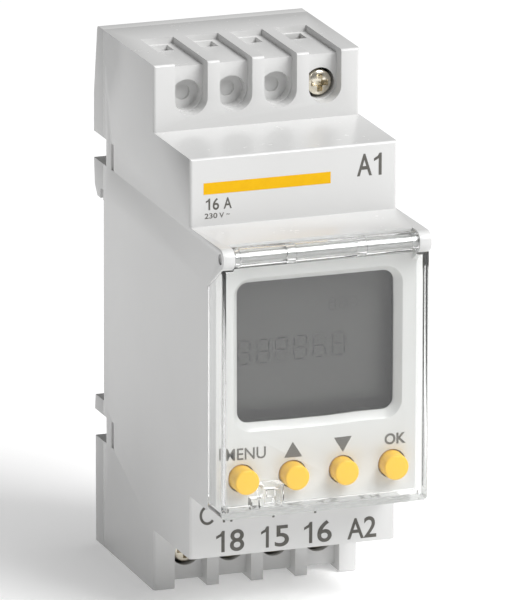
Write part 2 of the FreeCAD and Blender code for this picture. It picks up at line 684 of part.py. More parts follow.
def clamp_cage(name, x, z):
    """Cage that the screw draws up, open across Z for the wire and the bar."""
    front, back = S.cage_front, S.cage_back
    block = box("cage_block_" + name, about(x, S.cage_half), depth(front, back), about(z, S.cage_half))
    mouth = box("cage_mouth_" + name, about(x, S.cage_half - S.mouth_wall),
                depth(front - S.cage_nut, back + S.cage_wall), about(z, S.cage_half + 1))
    thread = rod("cage_thread_" + name, "y", (x, -front - 1, z), S.shank + S.thread_play, S.cage_nut + 1.5)
    piece("clamp_cage_" + name, cut("cage_" + name, block, [mouth, thread]))


def terminal_bar(name, x, z, outward):
    """Fixed bar inside the cage, with a foot that stands on the power board."""
    front = S.cage_front - S.cage_nut - 1.7
    edge = outward * (S.power_reach - S.bar_set_in)
    far, inner = z + outward * S.cage_half, edge + outward * S.bar_thick
    upright = (edge, far) if outward > 0 else (far, edge)
    foot = (edge, inner) if outward > 0 else (inner, edge)
    across = about(x, S.cage_half - S.bar_play)
    piece("terminal_bar_" + name, fuse("bar_" + name, [
        box("bar_upright_" + name, across, depth(front, front - S.bar_thick), upright),
        box("bar_foot_" + name, across, depth(front, S.power_board_front), foot)]))


def terminal(name, x, z, outward):
    terminal_screw(name, x, z)
    clamp_cage(name, x, z)
    terminal_bar(name, x, z, outward)


# ---------------------------------------------------------------- assembly and output

front_housing()
rear_base()
din_clip()
clear_cover()
hinge_pin()
display_parts()
display_board()
power_board()
for position, button_name in enumerate(("menu", "up", "down", "ok")):
    button_set(position, button_name)
power_parts()
terminal("top", terminal_x(3), S.screw_high, 1)
for position in range(4):
    terminal("low_%d" % (position + 1), terminal_x(position), -S.screw_low, -1)

doc.recompute()
for item in doc.Objects:
    if "Invalid" in item.State or "Error" in item.State:
        raise SystemExit("%s failed: %s" % (item.Name, item.State))
for item in PIECES:
    if item.Shape.isNull() or not item.Shape.isValid():
        raise SystemExit("%s has no valid shape" % item.Label)

os.makedirs("parts", exist_ok=True)
for item in PIECES:
    item.Shape.exportStep("parts/%s.step" % item.Label)
    print("%-24s solids %d  volume %9.2f mm3" % (item.Label, len(item.Shape.Solids), item.Shape.Volume))
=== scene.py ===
import json
import math

import bmesh
import bpy
from mathutils import Matrix, Vector

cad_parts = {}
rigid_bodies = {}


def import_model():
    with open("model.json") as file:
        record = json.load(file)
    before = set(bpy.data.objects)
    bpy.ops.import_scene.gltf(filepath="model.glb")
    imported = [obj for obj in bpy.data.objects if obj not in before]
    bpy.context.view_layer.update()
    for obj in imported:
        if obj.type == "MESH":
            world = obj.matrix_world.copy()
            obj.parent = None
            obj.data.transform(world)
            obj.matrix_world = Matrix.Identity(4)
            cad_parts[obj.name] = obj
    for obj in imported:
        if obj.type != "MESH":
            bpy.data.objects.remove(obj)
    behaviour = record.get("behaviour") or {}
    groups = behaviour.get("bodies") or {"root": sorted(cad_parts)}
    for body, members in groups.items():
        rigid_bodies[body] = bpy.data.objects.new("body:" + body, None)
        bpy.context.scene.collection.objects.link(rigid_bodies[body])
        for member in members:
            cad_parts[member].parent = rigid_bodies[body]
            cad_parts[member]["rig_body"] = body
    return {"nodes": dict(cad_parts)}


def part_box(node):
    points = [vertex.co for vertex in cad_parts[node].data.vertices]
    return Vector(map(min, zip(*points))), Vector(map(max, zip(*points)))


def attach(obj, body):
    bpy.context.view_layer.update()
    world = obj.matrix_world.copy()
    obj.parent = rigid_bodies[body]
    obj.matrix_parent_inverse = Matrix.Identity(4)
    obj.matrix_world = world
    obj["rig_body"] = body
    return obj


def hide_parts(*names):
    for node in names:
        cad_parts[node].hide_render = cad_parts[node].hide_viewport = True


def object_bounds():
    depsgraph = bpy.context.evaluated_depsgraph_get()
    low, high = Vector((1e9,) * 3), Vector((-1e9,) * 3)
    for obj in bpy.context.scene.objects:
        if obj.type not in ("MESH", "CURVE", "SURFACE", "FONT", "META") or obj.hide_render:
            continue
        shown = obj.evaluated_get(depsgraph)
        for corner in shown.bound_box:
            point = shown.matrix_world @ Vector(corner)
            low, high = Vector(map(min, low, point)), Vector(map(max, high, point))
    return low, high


# Two-module rail timer. Metres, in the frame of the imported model: X runs across the modules,
# -Y points at the reader and +Z is up. Finishes and soft edges are added round the fixed pieces.

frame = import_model()
CAD_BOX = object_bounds()
NODES = frame["nodes"]
MM = 0.001

KEYS = ("menu", "up", "down", "ok")
TERMINALS = ("top", "low_1", "low_2", "low_3", "low_4")


# ---------------------------------------------------------------- node helpers

def add(tree, kind, takes=None, **settings):
    """Add a node. What it takes is a value or another node's socket, by the name of its input."""
    node = tree.nodes.new(kind)
    for name, value in settings.items():
        setattr(node, name, value)
    for name, value in (takes or {}).items():
        feed(tree, node.inputs[name], value)
    return node


def feed(tree, socket, value):
    """Link another node's socket to this one, or set this one's own value."""
    if isinstance(value, bpy.types.NodeSocket):
        tree.links.new(value, socket)
    else:
        socket.default_value = value


def sums(tree, operation, first, second):
    """Result of one Math node."""
    return add(tree, "ShaderNodeMath", {0: first, 1: second}, operation=operation).outputs[0]


def blended(tree, share, first, second):
    """Colour that goes from the first to the second as the share goes from 0 to 1."""
    node = add(tree, "ShaderNodeMix", {0: share, 6: first, 7: second}, data_type="RGBA")
    return node.outputs[2]


def ranged(tree, value, low, high, to_low=0.0, to_high=1.0):
    """Value carried from one range to another and kept inside it."""
    takes = {"Value": value, "From Min": low, "From Max": high, "To Min": to_low, "To Max": to_high}
    return add(tree, "ShaderNodeMapRange", takes).outputs["Result"]


def noise(tree, where, scale, detail, roughness=0.5):
    """Even noise from 0 to 1."""
    takes = {"Vector": where, "Scale": scale, "Detail": detail, "Roughness": roughness}
    return add(tree, "ShaderNodeTexNoise", takes).outputs["Fac"]


def new_group(name, kind, takes, gives):
    """Node group with named inputs, each a label, a socket type and a default, and named outputs."""
    tree = bpy.data.node_groups.new(name, kind)
    for label, socket_type, default in takes:
        socket = tree.interface.new_socket(label, in_out="INPUT", socket_type="NodeSocket" + socket_type)
        if default is not None:
            socket.default_value = default
    for label, socket_type in gives:
        tree.interface.new_socket(label, in_out="OUTPUT", socket_type="NodeSocket" + socket_type)
    inputs = tree.nodes.new("NodeGroupInput").outputs
    outputs = tree.nodes.new("NodeGroupOutput").inputs
    return tree, inputs, outputs


# ---------------------------------------------------------------- shared surface effects

def moulded_skin():
    """Colour drift, handling marks and the fine spark grain of a moulding."""
    tree, have, give = new_group("moulded_skin", "ShaderNodeTree", [
        ("Colour", "Color", (0.7, 0.7, 0.7, 1)), ("Drift", "Color", (0.65, 0.65, 0.65, 1)),
        ("Drift Scale", "Float", 45.0), ("Roughness", "Float", 0.4), ("Handling", "Float", 0.08),
        ("Grain Scale", "Float", 3200.0), ("Grain", "Float", 0.5),
    ], [("Color", "Color"), ("Roughness", "Float"), ("Height", "Float")])
    place = add(tree, "ShaderNodeTexCoord").outputs["Object"]
    drift = ranged(tree, noise(tree, place, have["Drift Scale"], 4.0), 0.35, 0.7)
    feed(tree, give["Color"], blended(tree, drift, have["Colour"], have["Drift"]))
    marks = sums(tree, "SUBTRACT", noise(tree, place, 170.0, 5.0, 0.6), 0.5)
    marks = sums(tree, "MULTIPLY", marks, have["Handling"])
    feed(tree, give["Roughness"], sums(tree, "ADD", marks, have["Roughness"]))
    grain = noise(tree, place, have["Grain Scale"], 2.0)
    feed(tree, give["Height"], sums(tree, "MULTIPLY", grain, have["Grain"]))
    return tree


def settled_dust():
    """A thin film on the faces that look up."""
    tree, have, give = new_group("settled_dust", "ShaderNodeTree", [
        ("Color", "Color", None), ("Roughness", "Float", 0.4), ("Dust", "Color", (0.55, 0.53, 0.49, 1)),
        ("Amount", "Float", 0.1),
    ], [("Color", "Color"), ("Roughness", "Float")])
    up = add(tree, "ShaderNodeSeparateXYZ", {0: add(tree, "ShaderNodeNewGeometry").outputs["Normal"]})
    facing = ranged(tree, up.outputs["Z"], 0.3, 1.0)
    place = add(tree, "ShaderNodeTexCoord").outputs["Object"]
    specks = ranged(tree, noise(tree, place, 900.0, 4.0, 0.7), 0.45, 0.8)
    share = sums(tree, "MULTIPLY", sums(tree, "MULTIPLY", facing, specks), have["Amount"])
    feed(tree, give["Color"], blended(tree, share, have["Color"], have["Dust"]))
    feed(tree, give["Roughness"], sums(tree, "ADD", have["Roughness"], share))
    return tree


def plated_skin():
    """Plated metal: tone that drifts, fine turning lines and a dull bloom."""
    tree, have, give = new_group("plated_skin", "ShaderNodeTree", [
        ("Colour", "Color", (0.7, 0.68, 0.62, 1)), ("Bloom", "Color", (0.4, 0.36, 0.3, 1)),
        ("Bloom Amount", "Float", 0.4), ("Roughness", "Float", 0.25), ("Line Scale", "Float", 2500.0),
    ], [("Color", "Color"), ("Roughness", "Float"), ("Height", "Float")])
    place = add(tree, "ShaderNodeTexCoord").outputs["Object"]
    patches = ranged(tree, noise(tree, place, 700.0, 5.0, 0.65), 0.4, 0.75)
    share = sums(tree, "MULTIPLY", patches, have["Bloom Amount"])
    feed(tree, give["Color"], blended(tree, share, have["Colour"], have["Bloom"]))
    dull = sums(tree, "MULTIPLY", share, 0.3)
    feed(tree, give["Roughness"], sums(tree, "ADD", dull, have["Roughness"]))
    stretched = add(tree, "ShaderNodeMapping", {"Vector": place, "Scale": (1.0, 0.12, 1.0)})
    feed(tree, give["Height"], noise(tree, stretched.outputs["Vector"], have["Line Scale"], 2.0))
    return tree


SKIN, DUST, PLATE = moulded_skin(), settled_dust(), plated_skin()


# ---------------------------------------------------------------- materials

def colour(red, green, blue):
    return (red, green, blue, 1.0)


def new_material(name):
    """A material with its tree, its shader and its output."""
    material = bpy.data.materials.new(name)
    material.use_nodes = True
    tree = material.node_tree
    return material, tree, tree.nodes["Principled BSDF"], tree.nodes["Material Output"]


def placed(tree, group, takes):
    """One of the shared groups inside a material."""
    node = tree.nodes.new("ShaderNodeGroup")
    node.node_tree = group
    for name, value in takes.items():
        feed(tree, node.inputs[name], value)
    return node.outputs


def dented(tree, shader, height, strength, distance=0.02 * MM):
    """Relief from a height, up to the given distance."""
    bump = add(tree, "ShaderNodeBump", {"Height": height, "Strength": strength, "Distance": distance})
    feed(tree, shader.inputs["Normal"], bump.outputs["Normal"])


def plastic(name, main, drift, roughness, grain=0.5, dust=0.0, specular=0.5, **more):
    """Moulded plastic, with its grain and handling marks and, if wanted, a film of dust."""
    material, tree, shader, _ = new_material(name)
    skin = placed(tree, SKIN, {"Colour": main, "Drift": drift, "Roughness": roughness,
                               "Grain": grain, **more})
    tone, sheen = skin["Color"], skin["Roughness"]
    if dust:
        film = placed(tree, DUST, {"Color": tone, "Roughness": sheen, "Amount": dust})
        tone, sheen = film["Color"], film["Roughness"]
    feed(tree, shader.inputs["Base Color"], tone)
    feed(tree, shader.inputs["Roughness"], sheen)
    shader.inputs["Specular IOR Level"].default_value = specular
    dented(tree, shader, skin["Height"], 0.25)
    return material


def metal(name, main, bloom, roughness, bloom_amount=0.4):
    """Plated or rolled metal with a dull bloom in patches."""
    material, tree, shader, _ = new_material(name)
    skin = placed(tree, PLATE, {"Colour": main, "Bloom": bloom, "Roughness": roughness,
                                "Bloom Amount": bloom_amount})
    feed(tree, shader.inputs["Base Color"], skin["Color"])
    feed(tree, shader.inputs["Roughness"], skin["Roughness"])
    shader.inputs["Metallic"].default_value = 1.0
    dented(tree, shader, skin["Height"], 0.3)
    return material


SCUFFS = 0.04


def clear(name, tint, roughness, ior, clearness):
    """Clear moulding with faint scuffs. Shadow and diffuse rays go straight through, so what is behind
    it is lit once, by the lamps."""
    material, tree, shader, output = new_material(name)
    skin = placed(tree, SKIN, {"Roughness": roughness, "Handling": SCUFFS})
    shader.inputs["Base Color"].default_value = tint
    feed(tree, shader.inputs["Roughness"], skin["Roughness"])
    shader.inputs["Transmission Weight"].default_value = clearness
    shader.inputs["IOR"].default_value = ior
    open_way = add(tree, "ShaderNodeBsdfTransparent", {"Color": tint}).outputs[0]
    surface = shader.outputs[0]
    for ray in ("Is Shadow Ray", "Is Diffuse Ray"):
        share = add(tree, "ShaderNodeLightPath").outputs[ray]
        surface = add(tree, "ShaderNodeMixShader", {0: share, 1: surface, 2: open_way}).outputs[0]
    feed(tree, output.inputs["Surface"], surface)
    return material


def printed_ink(name, main, drift, roughness=0.5):
    """Matt ink with fine, uneven tone."""
    return plastic(name, main, drift, roughness, grain=0.9, specular=0.15, **{"Drift Scale": 900.0})


def board_green():
    """Solder mask over copper tracks, which show as lighter bands with a slight step."""
    material, tree, shader, _ = new_material("board_green")
    place = add(tree, "ShaderNodeTexCoord").outputs["Object"]
    tracks = add(tree, "ShaderNodeTexVoronoi", {"Vector": place, "Scale": 260.0}, distance="CHEBYCHEV",
                 feature="F1").outputs["Distance"]
    band = ranged(tree, tracks, 0.3, 0.34)
    skin = placed(tree, SKIN, {"Colour": colour(0.012, 0.12, 0.04), "Drift": colour(0.008, 0.08, 0.03),
                               "Roughness": 0.28})
    feed(tree, shader.inputs["Base Color"], blended(tree, band, skin["Color"], colour(0.03, 0.22, 0.07)))
    feed(tree, shader.inputs["Roughness"], skin["Roughness"])
    dented(tree, shader, band, 0.4, 0.05 * MM)
    return material


def striped_rubber():
    """Contact strip of alternating carbon and white layers."""
    material, tree, shader, _ = new_material("striped_rubber")
    place = add(tree, "ShaderNodeTexCoord").outputs["Object"]
    layers = add(tree, "ShaderNodeTexWave", {"Vector": place, "Scale": 900.0, "Distortion": 0.4},
                 bands_direction="X").outputs["Fac"]
    share = ranged(tree, layers, 0.4, 0.6)
    feed(tree, shader.inputs["Base Color"], blended(tree, share, colour(0.02, 0.02, 0.02),
                                                    colour(0.6, 0.42, 0.42)))
    shader.inputs["Roughness"].default_value = 0.6
    dented(tree, shader, layers, 0.3)
    return material


# Where the painted shade at the display's right and lower borders begins, and where it is full.
RIGHT_PAINTED_SHADE = (9.8 * MM, 13.4 * MM)
LOWER_PAINTED_SHADE = (-4.8 * MM, -7.8 * MM)


def display_film():
    """Grey liquid-crystal film with painted shade towards its right and lower borders, where the bezel shades
    it.
    """
    material, tree, shader, _ = new_material("display_film")
    skin = placed(tree, SKIN, {"Colour": colour(0.095, 0.095, 0.093), "Drift": colour(0.088, 0.088, 0.086),
                               "Roughness": 0.6, "Grain": 0.25})
    place = add(tree, "ShaderNodeTexCoord").outputs["Object"]
    axes = add(tree, "ShaderNodeSeparateXYZ", {0: place})
    # Painted shade, not the film's own tone: near black towards the right and lower borders.
    across = ranged(tree, axes.outputs["X"], *RIGHT_PAINTED_SHADE)
    down = ranged(tree, axes.outputs["Z"], *LOWER_PAINTED_SHADE)
    painted_shade_share = sums(tree, "POWER", sums(tree, "MAXIMUM", across, down), 1.6)
    painted_shade_colour = colour(0.015, 0.015, 0.015)
    feed(tree, shader.inputs["Base Color"], blended(tree, painted_shade_share, skin["Color"], painted_shade_colour))
    feed(tree, shader.inputs["Roughness"], skin["Roughness"])
    shader.inputs["Specular IOR Level"].default_value = 0.1
    dented(tree, shader, skin["Height"], 0.1)
    return material


def ghost_film():
    """The faint tone that idle display segments leave."""
    material, tree, shader, _ = new_material("ghost_film")
    place = add(tree, "ShaderNodeTexCoord").outputs["Object"]
    tone = noise(tree, place, 600.0, 2.0)
    feed(tree, shader.inputs["Base Color"], blended(tree, tone, colour(0.03, 0.03, 0.03),
                                                    colour(0.06, 0.06, 0.06)))
    feed(tree, shader.inputs["Alpha"], ranged(tree, tone, 0.2, 0.8, 0.35, 0.55))
    shader.inputs["Roughness"].default_value = 0.6
    shader.inputs["Specular IOR Level"].default_value = 0.0
    return material


HOUSING = plastic("housing_grey", colour(0.655, 0.655, 0.65), colour(0.635, 0.635, 0.63), 0.24, grain=0.3,
                  dust=0.05)
BASE = plastic("base_grey", colour(0.61, 0.61, 0.605), colour(0.585, 0.585, 0.58), 0.35, dust=0.08)
CLIP = plastic("clip_grey", colour(0.48, 0.48, 0.48), colour(0.45, 0.45, 0.45), 0.42)
YELLOW = plastic("button_yellow", colour(0.95, 0.56, 0.012), colour(0.93, 0.53, 0.01), 0.45, grain=0.7,
                 specular=0.3)
CLEAR = clear("clear_polycarbonate", colour(0.965, 0.97, 0.965), 0.04, 1.4, 0.985)
PANE = clear("window_acrylic", colour(0.97, 0.97, 0.97), 0.1, 1.18, 1.0)
FILM = display_film()
GHOST = ghost_film()
INK = printed_ink("grey_ink", colour(0.115, 0.11, 0.1), colour(0.14, 0.135, 0.125))
STRIP_INK = printed_ink("yellow_ink", colour(0.83, 0.47, 0.003), colour(0.8, 0.44, 0.003), 0.38)
PIN = metal("pin_steel", colour(0.42, 0.42, 0.42), colour(0.3, 0.3, 0.3), 0.35)
NICKEL = metal("screw_nickel", colour(0.8, 0.75, 0.64), colour(0.5, 0.42, 0.3), 0.2, 0.35)
ZINC = metal("clamp_zinc", colour(0.6, 0.57, 0.5), colour(0.4, 0.36, 0.28), 0.3)
BRASS = metal("bar_brass", colour(0.72, 0.52, 0.24), colour(0.5, 0.34, 0.16), 0.3)
CELL = metal("cell_steel", colour(0.62, 0.62, 0.6), colour(0.5, 0.5, 0.48), 0.22, 0.2)
TIN = metal("tinned_wire", colour(0.66, 0.66, 0.64), colour(0.5, 0.5, 0.48), 0.3)
BLACK = plastic("moulded_black", colour(0.02, 0.02, 0.02), colour(0.03, 0.03, 0.03), 0.45, grain=0.9)
BROWN = plastic("plunger_brown", colour(0.11, 0.05, 0.02), colour(0.09, 0.04, 0.02), 0.45)
RELAY = plastic("relay_blue", colour(0.01, 0.07, 0.24), colour(0.01, 0.06, 0.2), 0.3)
POTTED = plastic("film_case", colour(0.74, 0.45, 0.02), colour(0.7, 0.42, 0.02), 0.35)
SLEEVE = plastic("shrink_sleeve", colour(0.01, 0.012, 0.03), colour(0.015, 0.017, 0.04), 0.25)
CERAMIC = plastic("blue_epoxy", colour(0.02, 0.12, 0.38), colour(0.02, 0.1, 0.33), 0.3,
                  **{"Grain Scale": 900.0})
BOARD = board_green()
RUBBER = striped_rubber()


# ---------------------------------------------------------------- mesh helpers

def new_piece(name, mesh, material):
    """Object at the origin with one material."""
    piece = bpy.data.objects.new(name, mesh)
    bpy.context.scene.collection.objects.link(piece)
    mesh.materials.clear()
    mesh.materials.append(material)
    return piece


def baked(name, carrier, material):
    """What a carrier's modifiers make, as a plain piece. The carrier goes."""
    graph = bpy.context.evaluated_depsgraph_get()
    mesh = bpy.data.meshes.new_from_object(carrier.evaluated_get(graph), depsgraph=graph)
    mesh.name = name
    bpy.data.objects.remove(carrier)
    return new_piece(name, mesh, material)


def mesh_from(edit, name):
    """Finish an edit as a mesh whose faces point outwards."""
    mesh = bpy.data.meshes.new(name)
    bmesh.ops.recalc_face_normals(edit, faces=edit.faces)
    edit.to_mesh(mesh)
    edit.free()
    return mesh


def smoothed(piece, angle=35.0):
    """Smooth shading, with edges sharper than the angle in degrees kept sharp."""
    piece.data.shade_smooth()
    piece.data.set_sharp_from_angle(angle=math.radians(angle))
    return piece


DOUBLES = 0.002 * MM
FLAT_WITHIN, EDGE_FROM = math.radians(0.6), math.radians(32)
EDGE_STEPS = 3


def softened(node, name, material, width):
    """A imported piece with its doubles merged, its flat faces joined and its edges rounded."""
    source = NODES[node]
    edit = bmesh.new()
    edit.from_mesh(source.data)
    bmesh.ops.remove_doubles(edit, verts=edit.verts, dist=DOUBLES)
    bmesh.ops.dissolve_limit(edit, angle_limit=FLAT_WITHIN, verts=edit.verts, edges=edit.edges)
    carrier = new_piece(name + "_plain", mesh_from(edit, name), material)
    bevel = carrier.modifiers.new("soft_edges", "BEVEL")
    bevel.width = width
    bevel.segments = EDGE_STEPS
    bevel.limit_method = "ANGLE"
    bevel.angle_limit = EDGE_FROM
    bevel.use_clamp_overlap = True
    piece = smoothed(baked(name, carrier, material))
    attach(piece, source["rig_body"])
    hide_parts(node)
    return piece


def lathed(name, profile, centre, material, steps=64):
    """Closed turned shape. The profile is radius and depth pairs from its front pole to its back pole."""
    edit = bmesh.new()
    rings = []
    for radius, depth in profile:
        turns = [2 * math.pi * k / steps for k in range(steps if radius else 1)]
        places = [(centre.x + radius * math.cos(a), depth, centre.z + radius * math.sin(a)) for a in turns]
        rings.append([edit.verts.new(place) for place in places])
    for front, back in zip(rings, rings[1:]):
        for k in range(steps):
            j = (k + 1) % steps
            corners = [front[k % len(front)], front[j % len(front)], back[j % len(back)], back[k % len(back)]]
            edit.faces.new(list(dict.fromkeys(corners)))
    return smoothed(new_piece(name, mesh_from(edit, name), material))


def arc(middle, radius, start, end, steps=6):
    """Points of a round edge of a profile, as radius and depth pairs."""
    angles = [math.radians(start + (end - start) * k / steps) for k in range(steps + 1)]
    return [(middle[0] + radius * math.cos(a), middle[1] + radius * math.sin(a)) for a in angles]


def modified(tree, name, material, values):
    """A piece made by a geometry tree. The values go to the tree's named inputs."""
    carrier = bpy.data.objects.new(name + "_plan", bpy.data.meshes.new(name + "_plan"))
    bpy.context.scene.collection.objects.link(carrier)
    modifier = carrier.modifiers.new(name, "NODES")
    modifier.node_group = tree
    for socket in tree.interface.items_tree:
        if socket.in_out == "INPUT" and socket.name in values:
            modifier[socket.identifier] = values[socket.name]
    return baked(name, carrier, material)


# ---------------------------------------------------------------- geometry trees

FINE_DOUBLES = 0.0005 * MM


def raised(tree, flat, height, material):
    """Closed plate of the given height on the outline of flat faces, ending in its material."""
    top = add(tree, "GeometryNodeExtrudeMesh", {"Mesh": flat, "Offset Scale": height, "Individual": False})
    under = add(tree, "GeometryNodeFlipFaces", {"Mesh": flat})
    whole = add(tree, "GeometryNodeJoinGeometry")
    tree.links.new(top.outputs["Mesh"], whole.inputs[0])
    tree.links.new(under.outputs["Mesh"], whole.inputs[0])
    merged = add(tree, "GeometryNodeMergeByDistance", {
        "Geometry": whole.outputs[0], "Distance": FINE_DOUBLES})
    real = add(tree, "GeometryNodeRealizeInstances", {"Geometry": merged.outputs[0]})
    dressed = add(tree, "GeometryNodeSetMaterial", {"Geometry": real.outputs[0], "Material": material})
    return dressed.outputs[0]


def segment_tree():
    """Rows of seven-bar digits."""
    tree, have, give = new_group("seven_bar_digits", "GeometryNodeTree", [
        ("Digits", "Int", 6), ("Pitch", "Float", 3.2 * MM), ("Bar Length", "Float", 1.9 * MM),
        ("Bar Width", "Float", 0.3 * MM), ("Film", "Material", None)], [("Geometry", "Geometry")])

    def at(x=0.0, y=0.0):
        return add(tree, "ShaderNodeCombineXYZ", {"X": x, "Y": y}).outputs[0]

    reach = sums(tree, "SUBTRACT", have["Bar Length"], have["Bar Width"])
    bar = add(tree, "GeometryNodeMeshCircle", {"Vertices": 6, "Radius": 0.5}, fill_type="NGON").outputs[0]
    shape = add(tree, "ShaderNodeCombineXYZ", {"X": reach, "Y": have["Bar Width"], "Z": 1.0}).outputs[0]
    bar = add(tree, "GeometryNodeTransform", {"Geometry": bar, "Scale": shape}).outputs[0]
    level = add(tree, "GeometryNodeMeshLine", {"Count": 3, "Offset": at(y=have["Bar Length"])}).outputs[0]
    across = add(tree, "GeometryNodeInstanceOnPoints", {"Points": level, "Instance": bar}).outputs[0]
    posts = add(tree, "GeometryNodeMeshGrid", {
        "Size X": have["Bar Length"], "Size Y": have["Bar Length"],
        "Vertices X": 2, "Vertices Y": 2}).outputs[0]
    posts = add(tree, "GeometryNodeTransform", {
        "Geometry": posts, "Translation": at(y=have["Bar Length"])}).outputs[0]
    turned = add(tree, "GeometryNodeInstanceOnPoints", {
        "Points": posts, "Instance": bar, "Rotation": (0.0, 0.0, math.radians(90))}).outputs[0]
    digit = add(tree, "GeometryNodeJoinGeometry")
    tree.links.new(across, digit.inputs[0])
    tree.links.new(turned, digit.inputs[0])
    row = add(tree, "GeometryNodeMeshLine", {
        "Count": have["Digits"], "Offset": at(x=have["Pitch"])}).outputs[0]
    row = add(tree, "GeometryNodeInstanceOnPoints", {"Points": row, "Instance": digit.outputs[0]}).outputs[0]
    flat = add(tree, "GeometryNodeRealizeInstances", {"Geometry": row}).outputs[0]
    height = sums(tree, "MULTIPLY", have["Bar Width"], 0.05)
    feed(tree, give[0], raised(tree, flat, height, have["Film"]))
    return tree


def thread_tree():
    """Helical ridge of a screw, along -Z from its start."""
    tree, have, give = new_group("screw_thread", "GeometryNodeTree", [
        ("Radius", "Float", 1.4 * MM), ("Lead", "Float", 0.5 * MM), ("Turns", "Float", 8.0),
        ("Ridge", "Float", 0.22 * MM), ("Metal", "Material", None)], [("Geometry", "Geometry")])
    height = sums(tree, "MULTIPLY", have["Lead"], have["Turns"])
    helix = add(tree, "GeometryNodeCurveSpiral", {
        "Resolution": 32, "Rotations": have["Turns"], "Start Radius": have["Radius"],
        "End Radius": have["Radius"], "Height": height}).outputs[0]
    ridge = add(tree, "GeometryNodeCurvePrimitiveCircle", {
        "Resolution": 3, "Radius": have["Ridge"]}).outputs[0]
    tube = add(tree, "GeometryNodeCurveToMesh", {
        "Curve": helix, "Profile Curve": ridge, "Fill Caps": True})
    real = add(tree, "GeometryNodeRealizeInstances", {"Geometry": tube.outputs[0]}).outputs[0]
    feed(tree, give[0], add(tree, "GeometryNodeSetMaterial", {
        "Geometry": real, "Material": have["Metal"]}).outputs[0])
    return tree


DIGITS, THREAD = segment_tree(), thread_tree()
UPRIGHT = Matrix.Rotation(math.radians(90), 4, "X")


# ---------------------------------------------------------------- housing and base

# The fronts of the label step and of the key panel.
LABEL_FACE = -42.8 * MM
PANEL_FACE = -54.3 * MM


def housing():
    """Front shell, rear base and rail clip."""
    piece = softened("front_housing", "housing_shell", HOUSING, 0.22 * MM)
    base = softened("rear_base", "base_shell", BASE, 0.2 * MM)
    clip = softened("din_clip", "rail_clip_slide", CLIP, 0.2 * MM)


def cover():
    piece = softened("clear_cover", "clear_cover_moulding", CLEAR, 0.1 * MM)


def hinge_pin():
    """Plain steel rod with chamfered ends."""
    low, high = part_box("hinge_pin")
    radius, chamfer = (high.z - low.z) / 2, 0.15 * MM
    middle = (low + high) / 2
    half = (high.x - low.x) / 2
    profile = [(0, -half), (radius - chamfer, -half), (radius, chamfer - half),
               (radius, half - chamfer), (radius - chamfer, half), (0, half)]
    piece = lathed("hinge_pin_rod", profile, Vector((0, 0, 0)), PIN, 32)
    piece.data.transform(Matrix.Translation(middle) @ Matrix.Rotation(math.radians(90), 4, "Z"))
    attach(piece, "housing")
    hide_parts("hinge_pin")


# ---------------------------------------------------------------- printing

INK_DEPTH = 0.02 * MM
PROUD = 0.004 * MM
LETTER_SIZE = 4 * MM


def printed(name, characters, left, right, foot, head, face, weight=0.05):
    """Characters that fill a box on a face, standing just proud of it. The weight thickens the strokes."""
    plan = bpy.data.curves.new(name + "_plan", "FONT")
    plan.body = characters
    plan.size = LETTER_SIZE
    plan.offset = weight * MM
    plan.extrude = INK_DEPTH / 2
    plan.resolution_u = 5
    carrier = bpy.data.objects.new(name + "_plan", plan)
    bpy.context.scene.collection.objects.link(carrier)
    piece = baked(name, carrier, INK)
    edit = bmesh.new()
    edit.from_mesh(piece.data)
    bmesh.ops.remove_doubles(edit, verts=edit.verts, dist=FINE_DOUBLES)
    edit.to_mesh(piece.data)
    edit.free()
    piece.data.transform(UPRIGHT)
    fitted(piece, (left, right), (foot, head), face)
    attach(piece, "housing")


def figure_one(name, left, right, foot, head, face):
    """A figure 1 with its flag, drawn in shares of its width and height."""
    wide, tall = right - left, head - foot
    stem = right - wide * 0.39
    flat_shape(name, [(stem, foot), (right, foot), (right, head), (right - wide * 0.3, head),
                      (right - wide * 0.5, foot + tall * 0.87), (left, foot + tall * 0.77),
                      (left, foot + tall * 0.64), (stem, foot + tall * 0.75)], face, INK)


def fitted(piece, across, up, face, lift=PROUD):
    """Scale and move a flat upright piece so that it fills a box and its back lies on the face."""
    points = [v.co for v in piece.data.vertices]
    low = Vector([min(p[k] for p in points) for k in range(3)])
    high = Vector([max(p[k] for p in points) for k in range(3)])
    wide = (across[1] - across[0]) * MM / (high.x - low.x)
    tall = (up[1] - up[0]) * MM / (high.z - low.z)
    corner = Vector((across[0] * MM, face - lift, up[0] * MM))
    piece.data.transform(Matrix.Translation(corner) @ Matrix.Diagonal((wide, 1, tall, 1))
                         @ Matrix.Translation((-low.x, -high.y, -low.z)))


def flat_shape(name, points, face, ink):
    """Closed plate of ink on an outline of X and Z points."""
    edit = bmesh.new()
    back = [edit.verts.new((x * MM, face - PROUD, z * MM)) for x, z in points]
    front = [edit.verts.new((x * MM, face - PROUD - INK_DEPTH, z * MM)) for x, z in points]
    edit.faces.new(back)
    edit.faces.new(front)
    for k in range(len(points)):
        j = (k + 1) % len(points)
        edit.faces.new((back[k], back[j], front[j], front[k]))
    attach(new_piece(name, mesh_from(edit, name), ink), "housing")


# Each printed word as glyphs: the character, its left and right, its foot and its head, in millimetres.
WORDS = {
    "A1": [("A", 11.0, 13.6, 28.6, 32.35), ("1", 13.95, 15.3, 28.55, 32.3)],
    "rating": [("1", -15.3, -14.55, 25.25, 27.2), ("6", -14.1, -13.0, 25.2, 27.2),
               ("A", -12.2, -10.8, 25.25, 27.15)],
    "supply": [("230", -15.5, -13.3, 23.8, 24.7), ("V", -12.95, -12.15, 23.8, 24.65),
               ("~", -11.75, -11.15, 24.2, 24.4)],
    "18": [("1", -13.4, -11.92, -33.35, -29.7), ("8", -11.0, -8.5, -33.4, -29.65)],
    "15": [("1", -5.55, -4.18, -33.35, -29.7), ("5", -3.15, -0.65, -33.4, -29.75)],
    "16": [("1", 2.0, 3.43, -33.35, -29.7), ("6", 4.3, 6.85, -33.4, -29.65)],
    "A2": [("A", 9.6, 12.5, -33.4, -29.85), ("2", 12.5, 14.7, -33.4, -29.75)]}


